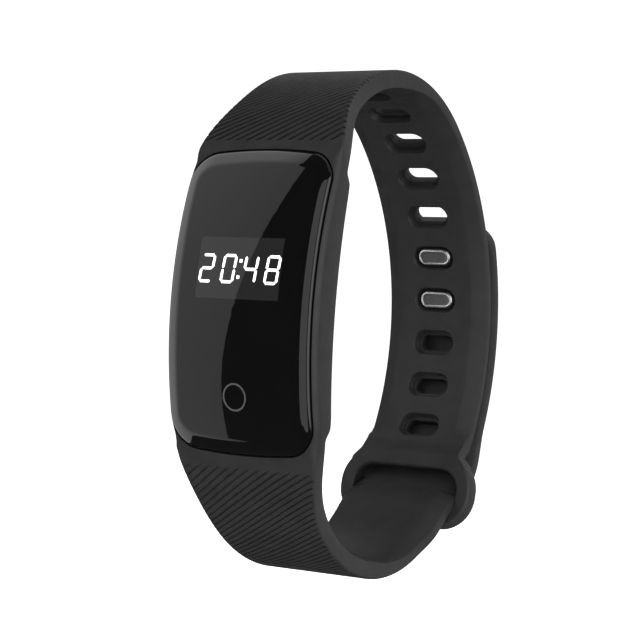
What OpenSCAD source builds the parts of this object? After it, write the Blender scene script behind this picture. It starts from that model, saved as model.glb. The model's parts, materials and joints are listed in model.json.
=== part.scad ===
// Fitness tracker band: a removable tracker module in a silicone wrist strap with a keeper loop and
// a two-peg clasp. The origin is the middle of the wrist opening. X runs along the arm, the glass
// faces -Y, and Z is up. Angles along the band start at the glass: 90 is over the top of the wrist
// and 180 is the back. The lower strap counts its own angles downwards from the glass.

/* [Band outline] */
// Distance from the wrist's middle to the front of the carrier
front_reach = 27.2; // [26:0.2:29]
// Height of the module's middle above the wrist's middle
module_z = 1.0; // [0:0.5:2]
// Radius of the front of the band
front_r = 54.7; // [50:0.5:60]
// Angle at which the front turns into the upper shoulder
shoulder_from = 18.2; // [17:0.2:19]
// Radius of the upper shoulder
shoulder_r = 21.7; // [21:0.1:22.5]
// Angle at which the shoulder turns into the back
back_from = 129.5; // [128:0.5:131]
// Radius of the back of the band
back_r = 37.0; // [36:0.5:38]
// Angle at which the front turns into the lower strap
lower_from = 21.4; // [21:0.2:22.4]

/* [Strap] */
// Width of the carrier along the arm
carrier_w = 22.4; // [22:0.1:24]
// Width of the strap where it has narrowed behind the carrier
strap_w = 16.3; // [15.5:0.1:17]
// Width of the strap at the back of the wrist
strap_end_w = 15.6; // [15:0.1:15.8]
// Thickness of both straps
strap_t = 2.4; // [2.2:0.1:2.5]
// Gap between the two layers where they lie on each other
layer_gap = 0.2; // [0.15:0.05:0.3]
// Thickness of the carrier at the module's middle
carrier_t = 4.4; // [4.4:0.1:4.8]
// Half the length of the carrier's thick part
carrier_half = 16.5; // [16.4:0.1:17]
// Radius of the carrier's wrist side
rear_r = 95; // [90:5:120]

/* [Adjustment slots] */
// Number of slots in the upper strap
slot_count = 10; // [9:1:10]
// Distance between two slots along the strap
slot_pitch = 6.45; // [6.3:0.05:6.5]
// Distance from the first slot to the start of the back
slot_start = 12.0; // [11.5:0.1:12.5]
// Length of a slot across the strap
slot_len = 5.6; // [5.5:0.1:6]
// Width of a slot along the strap
slot_wide = 2.9; // [2.9:0.1:3.1]
// Extra size of the recess round a slot on the wrist side
recess_extra = 0.7; // [0.5:0.1:0.9]
// Depth of the recess
recess_depth = 0.8; // [0.6:0.1:1]

/* [Keeper loop] */
// Width of the loop
keeper_w = 20.8; // [20.4:0.1:21.4]
// Height of the loop
keeper_h = 10.2; // [10:0.1:10.6]
// Width of the loop's bars
keeper_bar = 2.1; // [1.9:0.1:2.1]
// Thickness of the loop
keeper_t = 2.5; // [2.3:0.1:2.5]
// Lean of the loop away from upright
keeper_lean = 8; // [6:1:9]

/* [Clasp] */
// Slot that the upper peg sits in, counted from the first
peg_slot = 5; // [5:1:5]
// Length of a peg's head across the strap
peg_len = 5.0; // [4.8:0.1:5]
// Width of a peg's head along the strap
peg_wide = 2.3; // [2.1:0.1:2.3]
// Thickness of the clasp plate
clasp_t = 0.8; // [0.6:0.1:0.9]

/* [Tracker module] */
// Width of the glass
glass_w = 21.0; // [20.6:0.1:21]
// Length of the glass
glass_len = 38.0; // [37.6:0.1:38]
// Height of the glass above the silicone
glass_proud = 0.8; // [0.7:0.1:0.9]
// Thickness of the glass
glass_t = 1.1; // [1:0.1:1.1]
// Width of the module's body behind the glass
body_w = 18.6; // [18.4:0.1:18.6]
// Length of the module's body behind the glass
body_len = 32.4; // [32.2:0.1:32.4]

/* [Hidden] */
$fn = 96;

silicone = "#1d1d1f";
metal = "#b9bcc2";
black_glass = "#0a0a0c";
black_plastic = "#18181a";
board_green = "#1f5a3a";
chip_black = "#202024";
film_amber = "#b06a24";

// The band's outline in the plane across the arm, as [y, z]: three arcs over the top, then two below.
function dir(a) = [-cos(a), sin(a)];
front_c = [front_r - front_reach, module_z];
shoulder_c = front_c + (front_r - shoulder_r) * dir(shoulder_from);
back_c = shoulder_c + (shoulder_r - back_r) * dir(back_from);
lower_start = front_c + front_r * dir(-lower_from) - back_c;
lower_r = (back_r * back_r - lower_start * lower_start) / (2 * (back_r - lower_start * dir(-lower_from)));
lower_c = front_c + (front_r - lower_r) * dir(-lower_from);
lower_to = atan2((back_c - lower_c).y, (back_c - lower_c).x);

// Where the mouldings meet
upper_joint = 28;
lower_joint = 23;
keeper_joint = 205.5;
seam_w = 12;
seam_len = 0.6;
far = 80;

// Half of the strap's width, against the distance s along a line that leans back by 45 degrees.
// It falls off quickly behind the carrier and then slowly, each strap in its own way.
width_from = -7;
width_to = 26.6;
width_steps = 14;
fall_w = (carrier_w - strap_w) / 2;
function half_w(s, mid, spread, drift) = min(carrier_w / 2,
  strap_end_w / 2 + fall_w / (1 + exp((s - mid) / spread)) + drift * (1 - s / width_to));
function width_outline(mid, spread, drift) = let(stations = concat([[carrier_w / 2, -far]],
  [for (k = [0:width_steps]) let(s = width_from + (width_to - width_from) * k / width_steps)
    [half_w(s, mid, spread, drift), s]], [[strap_end_w / 2, far]]))
  concat(stations, [for (k = [len(stations) - 1:-1:0]) [-stations[k].x, stations[k].y]]);
upper_outline = width_outline(1.25, 2.6, 0.35);
lower_outline = width_outline(-1.35, 3.2, 0.6);

// The lower strap steps outwards by one layer to pass through the keeper
step_from = 138;
step_to = 150;
layer = strap_t + layer_gap;
function smooth(k) = k * k * (3 - 2 * k);
function step_out(a) = layer * smooth(max(0, min(1, (a - step_from) / (step_to - step_from))));
function lower_point(a, inset) = let(on_back = a > lower_to)
  (on_back ? back_c : lower_c) + ((on_back ? back_r : lower_r) + step_out(a) - inset) * dir(-a);

// Keeper loop, placed by its own middle
keeper_mid = [16.8, -21.8];
keeper_up = [sin(keeper_lean), cos(keeper_lean)];
keeper_in = [-cos(keeper_lean), sin(keeper_lean)];
keeper_corner = 4.6;
keeper_hole_corner = 2.2;
function keeper_point(up, inward) = keeper_mid + up * keeper_up + inward * keeper_in;

// Tail and clasp. The hinge stands for the tail's flexing, on the tail's middle surface.
tail_r = back_r + layer;
slot_arc = 180 / PI / back_r;
peg_angle = back_from + (peg_slot * slot_pitch - slot_start) * slot_arc;
peg_step = slot_pitch * slot_arc;
clasp_angle = peg_angle + peg_step / 2;
hinge_r = tail_r - strap_t / 2;
hinge_reach = 14;
hinge_angle = clasp_angle + atan(hinge_reach / (back_r - strap_t / 2));
hinge_clear = 1.5;
tail_stop = 360 - hinge_angle - hinge_clear * 180 / PI / hinge_r;
tip_angle = 153;
tip_corner = 5;
clasp_w = 8;
clasp_len = 12;

// Depths inside the module, from the silicone's front face
running = 0.05;
seat = 0.15;
film = 0.1;
glass_in_r = front_r + glass_proud - glass_t;
film_in_r = glass_in_r - film;
body_front_r = film_in_r;
flange_t = 0.55;
ledge_t = 0.8;
flange_rear_r = rear_r + ledge_t + running;
flange_front_r = flange_rear_r + flange_t;
boss_w = 14.4;
boss_len = 25.0;
boss_end = 5.2;
cavity_end = 4.5;
wall = 0.7;
board_front = 2.75;
board_rear = 3.35;
chip_rear = 4.15;
display_w = 13.0;
display_h = 7.7;
display_z = 3.8;
touch_z = -11.9;
touch_r = 2.4;
motor_x = 3.4;
motor_z = 8.8;
motor_r = 3.0;
motor_front = 2.3;
motor_rear = 4.2;
motor_skin = 0.2;
shaft_r = 0.35;
contact_x = 3.2;
contact_z = 1.5;
contact_r = 1.0;

// An outline in [y, z], extruded along the arm
module across(w) { rotate([90, 0, 90]) linear_extrude(w, center = true) children(); }

// A disc on a [y, z] centre, with its axis along the arm
module disc(c, r, w) { translate([0, c.x, c.y]) rotate([0, 90, 0]) cylinder(r = r, h = w, center = true, $fn = 360); }

// The part of space between two angles, counted from -Y over the top
module wedge(c, from, to) {
  steps = ceil((to - from) / 40);
  across(far) translate(c) polygon(concat([[0, 0]],
    [for (k = [0:steps]) 2 * far * dir(from + (to - from) * k / steps)]));
}

// A curved layer of constant thickness between two angles
module arc_layer(c, r, t, from, to, w) {
  intersection() {
    difference() {
      disc(c, r, w);
      disc(c, r - t, w + 2);
    }
    wedge(c, from, to);
  }
}

// Space inside the tapering width of the upper and the lower strap
module upper_width() {
  translate([0, 0, module_z]) rotate([45, 0, 0]) linear_extrude(2 * far, center = true) polygon(upper_outline);
}
module lower_width() {
  translate([0, 0, module_z]) rotate([-45, 0, 0]) linear_extrude(2 * far, center = true) polygon(lower_outline);
}

module rounded_rect(w, l, r) {
  square([w - 2 * r, l], center = true);
  square([w, l - 2 * r], center = true);
  for (x = [-1, 1], y = [-1, 1]) translate([x * (w / 2 - r), y * (l / 2 - r)]) circle(r, $fn = 48);
}

module obround(l, w) {
  square([l - w, w], center = true);
  for (x = [-1, 1]) translate([x * (l - w) / 2, 0]) circle(w / 2, $fn = 48);
}

// Local frame on a layer of the band: Z points outwards and X stays along the arm
module on_layer(c, r, a) { translate([0, c.x, c.y]) rotate([90 - a, 0, 0]) translate([0, 0, r]) children(); }

// Local frame of the module: y is the depth from the silicone's front face, z starts at the middle
module in_module() { translate([0, -front_reach, module_z]) children(); }

// A rounded slab of the module between two depths
module slab(w, l, r, from, to) {
  translate([0, to, 0]) rotate([90, 0, 0]) linear_extrude(to - from) rounded_rect(w, l, r);
}

// Discs in the module's frame that follow the glass and the wrist side
module glass_disc(r) { disc([front_r, 0], r, far); }
module rear_disc(r) { disc([carrier_t + rear_r, 0], r, 2 * far); }

// A box from one corner to the other, in the module's frame
module box(a, b) { translate(a) cube(b - a); }

module carrier() {
  color(silicone) difference() {
    union() {
      intersection() {
        upper_width();
        lower_width();
        union() {
          arc_layer(front_c, front_r, strap_t, -lower_from, shoulder_from, carrier_w);
          arc_layer(shoulder_c, shoulder_r, strap_t, shoulder_from, upper_joint, carrier_w);
          arc_layer(lower_c, lower_r, strap_t, -lower_joint, -lower_from, carrier_w);
        }
      }
      in_module() difference() {
        intersection() {
          glass_disc(front_r);
          box([-carrier_w / 2, -1, -carrier_half], [carrier_w / 2, 8, carrier_half]);
        }
        rear_disc(rear_r);
      }
    }
    in_module() {
      difference() {
        slab(glass_w + 2 * seat, glass_len + 2 * seat, 4, -2, 8);
        glass_disc(glass_in_r - seat);
      }
      difference() {
        slab(body_w + 2 * seat, body_len + 2 * seat, 3, -2, 8);
        rear_disc(rear_r + ledge_t);
      }
      slab(boss_w + 2 * seat, boss_len + 2 * seat, 2.5, 0, 9);
    }
  }
}

// One slot and its recess, cut from the wrist side outwards
module slot_cut(c, r, a) {
  on_layer(c, r - strap_t, a) {
    translate([0, 0, -2]) linear_extrude(strap_t + 4) obround(slot_len, slot_wide);
    translate([0, 0, -2]) linear_extrude(2 + recess_depth)
      obround(slot_len + recess_extra, slot_wide + recess_extra);
  }
}

// A key inside the moulding that makes two neighbouring arcs one solid
module seam(c, r, a) {
  on_layer(c, r - strap_t / 2, a) cube([seam_w, seam_len, strap_t / 2], center = true);
}

module hole_strap() {
  color(silicone) difference() {
    union() {
      intersection() {
        upper_width();
        arc_layer(shoulder_c, shoulder_r, strap_t, upper_joint, back_from, carrier_w);
      }
      seam(back_c, back_r, back_from);
      arc_layer(back_c, back_r, strap_t, back_from, keeper_joint, strap_end_w);
    }
    for (k = [0:slot_count - 1]) {
      s = k * slot_pitch - slot_start;
      if (s < 0) slot_cut(shoulder_c, shoulder_r, back_from + s * 180 / PI / shoulder_r);
      else slot_cut(back_c, back_r, back_from + s * slot_arc);
    }
  }
}

module keeper_loop() {
  neck_top = keeper_h / 2 - 0.4;
  neck_foot = keeper_h / 2 - keeper_bar / 2;
  neck_side = keeper_t / 2 - 0.05;
  color(silicone) difference() {
    union() {
      translate([0, keeper_mid.x, keeper_mid.y]) rotate([90 - keeper_lean, 0, 0])
        linear_extrude(keeper_t, center = true) rounded_rect(keeper_w, keeper_h, keeper_corner);
      across(strap_end_w) polygon([back_c + back_r * dir(keeper_joint),
        back_c + (back_r - strap_t) * dir(keeper_joint), keeper_point(neck_top, neck_side),
        keeper_point(neck_foot, 0), keeper_point(neck_top, -neck_side)]);
    }
    translate([0, keeper_mid.x, keeper_mid.y]) rotate([90 - keeper_lean, 0, 0])
      linear_extrude(3 * keeper_t, center = true)
        rounded_rect(keeper_w - 2 * keeper_bar, keeper_h - 2 * keeper_bar, keeper_hole_corner);
  }
}

module lower_strap() {
  steps = 12;
  angles = [for (k = [0:steps]) step_from + (step_to - step_from) * k / steps];
  outer = [for (a = angles) lower_point(a, 0)];
  inner = [for (k = [steps:-1:0]) lower_point(angles[k], strap_t)];
  color(silicone) {
    intersection() {
      lower_width();
      arc_layer(lower_c, lower_r, strap_t, -lower_to, -lower_joint, carrier_w);
    }
    seam(back_c, back_r, -lower_to);
    arc_layer(back_c, back_r, strap_t, -step_from, -lower_to, strap_end_w);
    seam(back_c, back_r, -step_from);
    across(strap_end_w) polygon(concat(outer, inner));
    seam(back_c, tail_r, -step_to);
    arc_layer(back_c, tail_r, strap_t, 360 - tail_stop, 360 - step_to, strap_end_w);
  }
}

// The clasp plate's outline, pushed through the layer it lies in
module clasp_outline(extra) {
  on_layer(back_c, tail_r - 3, clasp_angle) linear_extrude(6)
    rounded_rect(clasp_w + 2 * extra, clasp_len + 2 * extra, 2.5 + extra);
}

module tail_strap() {
  half = (hinge_angle - tip_angle) / 2;
  reach = tail_r * sin(half);
  color(silicone) difference() {
    union() {
      intersection() {
        arc_layer(back_c, tail_r, strap_t, tip_angle, hinge_angle, carrier_w);
        on_layer(back_c, tail_r - 8, hinge_angle - half) linear_extrude(20) translate([0, -tip_corner])
          rounded_rect(strap_end_w, 2 * reach + 2 * tip_corner, tip_corner);
      }
      on_layer(back_c, hinge_r, hinge_angle) rotate([0, 90, 0])
        cylinder(r = strap_t / 2 - 0.05, h = strap_end_w, center = true);
    }
    intersection() {
      arc_layer(back_c, tail_r + 1, 1 + clasp_t, tip_angle, hinge_angle, carrier_w);
      clasp_outline(0);
    }
    for (k = [0, 1]) on_layer(back_c, tail_r - strap_t - 1, peg_angle + k * peg_step)
      linear_extrude(strap_t + 2) obround(peg_len - 1.0, peg_wide - 0.7);
  }
}

module clasp_plate() {
  color(metal) intersection() {
    arc_layer(back_c, tail_r, clasp_t, tip_angle, hinge_angle, carrier_w);
    clasp_outline(0);
  }
}

module clasp_pegs() {
  neck_from = tail_r - clasp_t;
  head_from = back_r - strap_t + 1.0;
  head_to = back_r - strap_t + 0.3;
  color(metal) for (k = [0, 1]) {
    a = peg_angle + k * peg_step;
    intersection() {
      on_layer(back_c, head_from - 0.01, a)
        linear_extrude(neck_from - head_from + 2) obround(peg_len - 1.0, peg_wide - 0.7);
      disc(back_c, neck_from, far);
    }
    on_layer(back_c, head_to, a) linear_extrude(head_from - head_to) obround(peg_len, peg_wide);
  }
}

module cover_glass() {
  color(black_glass) in_module() intersection() {
    slab(glass_w, glass_len, 3.85, -2, 8);
    difference() {
      glass_disc(glass_in_r + glass_t);
      glass_disc(glass_in_r);
    }
  }
}

module glass_gasket() {
  color("#303034") in_module() intersection() {
    difference() {
      slab(body_w, body_len, 2.85, -2, 8);
      slab(body_w - 2 * wall, body_len - 2 * wall, 2.4, -3, 9);
    }
    difference() {
      glass_disc(glass_in_r);
      glass_disc(film_in_r);
    }
  }
}

module mask_film() {
  color("#101012") in_module() difference() {
    intersection() {
      slab(body_w - 2 * wall - 0.2, body_len - 2 * wall - 0.2, 2.3, -2, 8);
      glass_disc(glass_in_r);
    }
    glass_disc(film_in_r);
    translate([0, 0, display_z]) slab(display_w, display_h, 0.4, -2, 8);
  }
}

module oled_panel() {
  color("#26262c") in_module() box([-7.3, 1.3, display_z - 6.1], [7.3, 2.2, display_z + 4.3]);
}

module oled_foam() {
  color("#3c3c40") in_module() box([-6.8, 2.2, 1.2], [6.8, board_front, 5.2]);
}

// A thin tail that folds back from the panel's lower edge to the board
module oled_flex() {
  top = display_z - 6.1;
  fold = top - 0.6;
  color(film_amber) in_module() across(7) polygon([[1.9, top], [1.9, fold], [board_front, fold],
    [board_front, 0.6], [board_front - film, 0.6], [board_front - film, fold + film],
    [1.9 + film, fold + film], [1.9 + film, top]]);
}

module touch_electrode() {
  color("#c08a40") in_module() intersection() {
    difference() {
      glass_disc(film_in_r);
      glass_disc(film_in_r - film);
    }
    translate([0, 8, touch_z]) rotate([90, 0, 0]) cylinder(r = touch_r, h = 10);
  }
}

module touch_flex() {
  color(film_amber) in_module() intersection() {
    difference() {
      glass_disc(film_in_r);
      glass_disc(film_in_r - film);
    }
    difference() {
      box([-1, -2, touch_z], [1, 8, -3.4]);
      translate([0, 8, touch_z]) rotate([90, 0, 0]) cylinder(r = touch_r, h = 10);
    }
  }
}

// A rounded ring that follows the rear cover's flange
module flange_ring(outer, inner, front_to) {
  in_module() difference() {
    slab(body_w - 2 * outer, body_len - 2 * outer, 2.85 - outer, 0, 8);
    slab(body_w - 2 * inner, body_len - 2 * inner, 2.85 - inner, -1, 9);
    rear_disc(flange_front_r);
    difference() {
      slab(far, far, 1, -1, 9);
      rear_disc(front_to);
    }
  }
}

module mid_frame() {
  color(black_plastic) difference() {
    in_module() difference() {
      intersection() {
        slab(body_w, body_len, 2.85, 0, 8);
        glass_disc(body_front_r);
      }
      slab(body_w - 2 * wall, body_len - 2 * wall, 2.4, -1, 9);
      rear_disc(flange_front_r);
    }
    flange_ring(0.2, 0.5, flange_front_r + 0.3);
  }
}

module rear_seal() {
  color("#2b2b2e") flange_ring(0.22, 0.48, flange_front_r + 0.28);
}

module main_board() {
  color(board_green) in_module() difference() {
    box([-6.3, board_front, -1.0], [6.3, board_rear, 11.6]);
    box([motor_x - motor_r - 0.3, board_front - 1, motor_z - motor_r - 0.3], [far, board_rear + 1, far]);
  }
}

// A chip on the wrist side of the board
module chip(x, z, w, l, t) {
  in_module() box([x - w / 2, board_rear, z - l / 2], [x + w / 2, board_rear + t, z + l / 2]);
}

module radio_chip() { color(chip_black) chip(0.2, 1.6, 3.8, 3.8, chip_rear - board_rear); }
module flash_chip() { color(chip_black) chip(-4.4, 5.6, 3.0, 2.4, 0.6); }
module accelerometer() { color(chip_black) chip(-4.4, 8.6, 2.0, 2.0, 0.7); }
module crystal() { color(metal) chip(-1.6, 5.0, 1.6, 1.0, 0.5); }
module charger_chip() { color(chip_black) chip(4.6, 3.8, 1.6, 1.4, 0.6); }
module antenna() { color("#d8d4c8") chip(-3.2, 10.8, 4.4, 1.2, 0.5); }

module battery_cell() {
  color("#8d9299") in_module() translate([0, 0, -7.45]) slab(12.6, 8.5, 1.6, 2.0, 4.2);
}

module battery_foam() {
  color("#3c3c40") in_module() box([-5.2, 4.2, -10.6], [5.2, cavity_end, -4.2]);
}

module battery_board() {
  color(board_green) in_module() box([-5, 2.9, -2.9], [5, 4.2, -2.3]);
}

// A cylinder in the module's frame on the motor's axis, between two depths
module on_motor(r, from, to) {
  translate([motor_x, to, motor_z]) rotate([90, 0, 0]) cylinder(r = r, h = to - from);
}

module motor_can() {
  color(metal) in_module() difference() {
    on_motor(motor_r, motor_front, motor_rear);
    on_motor(motor_r - motor_skin, motor_front + motor_skin, motor_rear + 1);
  }
}

module motor_base() { color(metal) in_module() on_motor(motor_r, motor_rear, motor_rear + motor_skin); }

module motor_shaft() { color("silver") in_module() on_motor(shaft_r, motor_front + motor_skin, motor_rear); }

// Half a disc of heavy metal hanging on the shaft
module motor_weight() {
  from = motor_front + 2 * motor_skin + 0.1;
  to = motor_rear - motor_skin;
  color("#7d7468") in_module() difference() {
    union() {
      intersection() {
        on_motor(motor_r - 0.45, from, to);
        box([motor_x - motor_r, 0, motor_z - motor_r], [motor_x + motor_r, 8, motor_z]);
      }
      on_motor(0.9, from, to);
    }
    on_motor(shaft_r + running, from - 1, to + 1);
  }
}

module motor_pad() { color("#3c3c40") in_module() on_motor(motor_r - 0.4, motor_rear + motor_skin, cavity_end); }

module rear_cover() {
  color(black_plastic) in_module() difference() {
    union() {
      difference() {
        intersection() {
          slab(body_w, body_len, 2.85, 0, 8);
          rear_disc(flange_front_r);
        }
        rear_disc(flange_rear_r);
      }
      difference() {
        slab(boss_w, boss_len, 2.35, 1, boss_end);
        difference() {
          slab(far, far, 1, -1, 9);
          rear_disc(flange_front_r);
        }
      }
    }
    slab(boss_w - 2 * wall, boss_len - 2 * wall, 1.7, -1, cavity_end);
    for (x = [-1, 1]) translate([x * contact_x, boss_end + 1, contact_z]) rotate([90, 0, 0])
      cylinder(r = contact_r, h = 3);
  }
}

module charge_contacts() {
  color("#d9b25a") in_module() for (x = [-1, 1])
    translate([x * contact_x, boss_end, contact_z]) rotate([90, 0, 0])
      cylinder(r = contact_r - 0.02, h = boss_end - cavity_end);
}

carrier();
hole_strap();
keeper_loop();
lower_strap();
tail_strap();
clasp_plate();
clasp_pegs();
cover_glass();
glass_gasket();
mask_film();
oled_panel();
oled_foam();
oled_flex();
touch_electrode();
touch_flex();
mid_frame();
rear_seal();
main_board();
radio_chip();
flash_chip();
accelerometer();
crystal();
charger_chip();
antenna();
battery_cell();
battery_foam();
battery_board();
motor_can();
motor_base();
motor_shaft();
motor_weight();
motor_pad();
rear_cover();
charge_contacts();
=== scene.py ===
"""Looks of the fitness tracker band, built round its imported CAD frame.

Lengths in this script are millimetres and turn into metres in build(). X runs along the arm, the
glass faces -Y and Z is up. An angle on the band starts at the glass: it grows over the top of the
wrist to 180 at the back, and the lower strap has negative angles.
"""
import json
import math

import bmesh
import bpy
import numpy as np
from mathutils import Matrix, Vector


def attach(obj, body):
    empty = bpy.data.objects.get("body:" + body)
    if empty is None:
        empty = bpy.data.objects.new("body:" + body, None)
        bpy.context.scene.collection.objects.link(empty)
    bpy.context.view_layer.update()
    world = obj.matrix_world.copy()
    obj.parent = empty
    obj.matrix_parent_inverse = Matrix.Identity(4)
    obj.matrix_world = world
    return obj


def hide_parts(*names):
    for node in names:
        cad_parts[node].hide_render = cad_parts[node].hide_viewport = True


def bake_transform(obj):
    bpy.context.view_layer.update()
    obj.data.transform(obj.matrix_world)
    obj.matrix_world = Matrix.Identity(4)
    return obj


MM = 0.001

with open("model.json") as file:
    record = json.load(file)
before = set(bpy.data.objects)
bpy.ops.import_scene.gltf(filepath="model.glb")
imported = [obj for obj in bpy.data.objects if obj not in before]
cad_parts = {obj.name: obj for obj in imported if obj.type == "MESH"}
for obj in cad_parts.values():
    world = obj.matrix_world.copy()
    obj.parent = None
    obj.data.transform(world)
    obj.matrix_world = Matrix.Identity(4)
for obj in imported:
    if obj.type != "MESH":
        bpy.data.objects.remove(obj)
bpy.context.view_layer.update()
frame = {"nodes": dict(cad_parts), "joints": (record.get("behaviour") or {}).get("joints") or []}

# ---------------------------------------------------------------------------------------------
# Driving dimensions. The band's are the CAD's, and the glass's follow the photograph.
# ---------------------------------------------------------------------------------------------
FRONT_REACH, MODULE_Z = 27.2, 1.0
FRONT_R, SHOULDER_R, BACK_R = 54.7, 21.7, 37.0
SHOULDER_FROM, BACK_FROM, LOWER_FROM = 18.2, 129.5, 21.4
STRAP_T, LAYER = 2.4, 2.6
CARRIER_W, STRAP_W, STRAP_END_W = 22.4, 16.3, 15.6
CARRIER_T, CARRIER_HALF, REAR_R = 4.4, 16.5, 95.0
SLOT_PITCH, SLOT_START, SLOTS = 6.45, 12.0, 10
PEG_SLOT = 5
KEEPER_MID, KEEPER_LEAN = np.array([16.8, -21.8]), 8.0
KEEPER_W, KEEPER_H, KEEPER_T, KEEPER_BAR = 20.8, 10.2, 2.5, 2.1
NECK_FROM = 204.5
STEP_FROM, STEP_TO = 138.0, 150.0
TIP_ANGLE, TIP_CORNER = 153.0, 5.0
GLASS_W, GLASS_LEN, GLASS_PROUD, GLASS_CORNER, GLASS_CROWN = 21.0, 36.2, 0.8, 3.3, 0.8


def normal(a):
    """Outward normal [y, z] of the band at angle a, in degrees."""
    return np.array([-math.cos(math.radians(a)), math.sin(math.radians(a))])


FRONT_C = np.array([FRONT_R - FRONT_REACH, MODULE_Z])
SHOULDER_C = FRONT_C + (FRONT_R - SHOULDER_R) * normal(SHOULDER_FROM)
BACK_C = SHOULDER_C + (SHOULDER_R - BACK_R) * normal(BACK_FROM)
_to_lower = FRONT_C + FRONT_R * normal(-LOWER_FROM) - BACK_C
LOWER_R = (BACK_R ** 2 - _to_lower @ _to_lower) / (2 * (BACK_R - _to_lower @ normal(-LOWER_FROM)))
LOWER_C = FRONT_C + (FRONT_R - LOWER_R) * normal(-LOWER_FROM)
LOWER_TO = math.degrees(math.atan2(*(BACK_C - LOWER_C)[::-1]))
SLOT_ARC = math.degrees(1 / BACK_R)


def smooth(k):
    """Ease from 0 to 1 while k goes from 0 to 1."""
    k = min(1.0, max(0.0, k))
    return k * k * (3 - 2 * k)


def arc(a):
    """Centre and radius of the band's outer face at angle a."""
    if a > BACK_FROM or a < -LOWER_TO:
        return BACK_C, BACK_R
    if a > SHOULDER_FROM:
        return SHOULDER_C, SHOULDER_R
    if a > -LOWER_FROM:
        return FRONT_C, FRONT_R
    return LOWER_C, LOWER_R


def outer_point(a, lift=0.0):
    """[y, z] of the band's outer face at angle a, or of a face lift outside it."""
    centre, radius = arc(a)
    return centre + (radius + lift) * normal(a)


IN_LOOP_EXTRA = 0.48  # how much wider the lower strap is on each side inside the keeper
IN_LOOP_RISE, IN_LOOP_FALL = (118, 14), (152, 10)  # from what angle, over how many degrees
FALL_UPPER = (1.25, 2.6, 0.35)  # where the width falls off, over what length, and the slow rest
FALL_LOWER = (-1.35, 3.2, 0.6)
FALL_END = 26.6


def half_width(a):
    """Half of the strap's width: it falls off quickly behind the carrier and then slowly."""
    rise, fall = (smooth((-a - start) / run) for start, run in (IN_LOOP_RISE, IN_LOOP_FALL))
    in_loop = IN_LOOP_EXTRA * rise * (1 - fall)
    if a > BACK_FROM or a < -LOWER_TO:
        return STRAP_END_W / 2 + in_loop
    y, z = outer_point(a) - np.array([0, MODULE_Z])
    s = (y + abs(z)) / math.sqrt(2)
    mid, spread, drift = FALL_UPPER if z > 0 else FALL_LOWER
    flank = (CARRIER_W - STRAP_W) / 2 / (1 + math.exp((s - mid) / spread))
    return min(CARRIER_W / 2, STRAP_END_W / 2 + flank + drift * (1 - s / FALL_END)) + in_loop


CARRIER_ARC = 60.0  # the carrier lies well inside this angle, on both sides of the glass
CARRIER_END, CARRIER_RUNOUT = 0.7, 1.4


def thickness(a):
    """Depth from the outer face to the wrist side: thicker where the module sits."""
    point, inward = outer_point(a), -normal(a)
    height = abs(point[1] - MODULE_Z)
    share = smooth((CARRIER_HALF + CARRIER_END - height) / CARRIER_RUNOUT)
    if share == 0 or abs(a) > CARRIER_ARC:
        return STRAP_T
    rear = point - np.array([CARRIER_T - FRONT_REACH + REAR_R, MODULE_Z])
    along = rear @ inward
    depth = -along - math.sqrt(along * along - rear @ rear + REAR_R ** 2)
    return STRAP_T + (depth - STRAP_T) * share


# ---------------------------------------------------------------------------------------------
# Materials
# ---------------------------------------------------------------------------------------------
def node_material(name):
    """A new node material, with its node tree and its Principled shader."""
    material = bpy.data.materials.new(name)
    material.use_nodes = True
    tree = material.node_tree
    return material, tree, tree.nodes["Principled BSDF"]


def object_noise(tree, scale, detail=4.0, roughness=0.55, stretch=(1, 1, 1)):
    """Noise that is fixed to the object, with scale in features per metre."""
    place = tree.nodes.new("ShaderNodeTexCoord")
    mapping = tree.nodes.new("ShaderNodeMapping")
    mapping.inputs["Scale"].default_value = stretch
    noise = tree.nodes.new("ShaderNodeTexNoise")
    noise.inputs["Scale"].default_value = scale
    noise.inputs["Detail"].default_value = detail
    noise.inputs["Roughness"].default_value = roughness
    tree.links.new(place.outputs["Object"], mapping.inputs["Vector"])
    tree.links.new(mapping.outputs["Vector"], noise.inputs["Vector"])
    return noise.outputs["Fac"]


def ramp(tree, value, low, high, start=0.3, end=0.7):
    """Colour that goes from low to high while value goes from start to end."""
    node = tree.nodes.new("ShaderNodeValToRGB")
    node.color_ramp.elements[0].position, node.color_ramp.elements[1].position = start, end
    node.color_ramp.elements[0].color, node.color_ramp.elements[1].color = (*low, 1), (*high, 1)
    tree.links.new(value, node.inputs["Fac"])
    return node.outputs["Color"]


def value_range(tree, value, low, high, start=0.3, end=0.7):
    """Number that goes from low to high while value goes from start to end."""
    node = tree.nodes.new("ShaderNodeMapRange")
    node.inputs["From Min"].default_value, node.inputs["From Max"].default_value = start, end
    node.inputs["To Min"].default_value, node.inputs["To Max"].default_value = low, high
    tree.links.new(value, node.inputs["Value"])
    return node.outputs["Result"]


def bump(tree, shader, height, strength, distance_mm):
    """Relief of that height in mm on the shader's normal."""
    node = tree.nodes.new("ShaderNodeBump")
    node.inputs["Strength"].default_value = strength
    node.inputs["Distance"].default_value = distance_mm * MM
    tree.links.new(height, node.inputs["Height"])
    tree.links.new(node.outputs["Normal"], shader.inputs["Normal"])


def surface(name, low, high, rough, metallic=0.0, scale=900, grain=0.0, grain_scale=5000,
            stretch=(1, 1, 1), **sockets):
    """A procedural surface: mottled colour, uneven gloss and, with grain in mm, a fine relief."""
    material, tree, shader = node_material(name)
    mottle = object_noise(tree, scale, stretch=stretch)
    tree.links.new(ramp(tree, mottle, low, high), shader.inputs["Base Color"])
    tree.links.new(value_range(tree, object_noise(tree, scale * 2.3, stretch=stretch), *rough),
                   shader.inputs["Roughness"])
    shader.inputs["Metallic"].default_value = metallic
    for socket, value in sockets.items():
        shader.inputs[socket.replace("_", " ")].default_value = value
    if grain:
        bump(tree, shader, object_noise(tree, grain_scale, 3.0, stretch=stretch), 0.5, grain)
    return material


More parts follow.
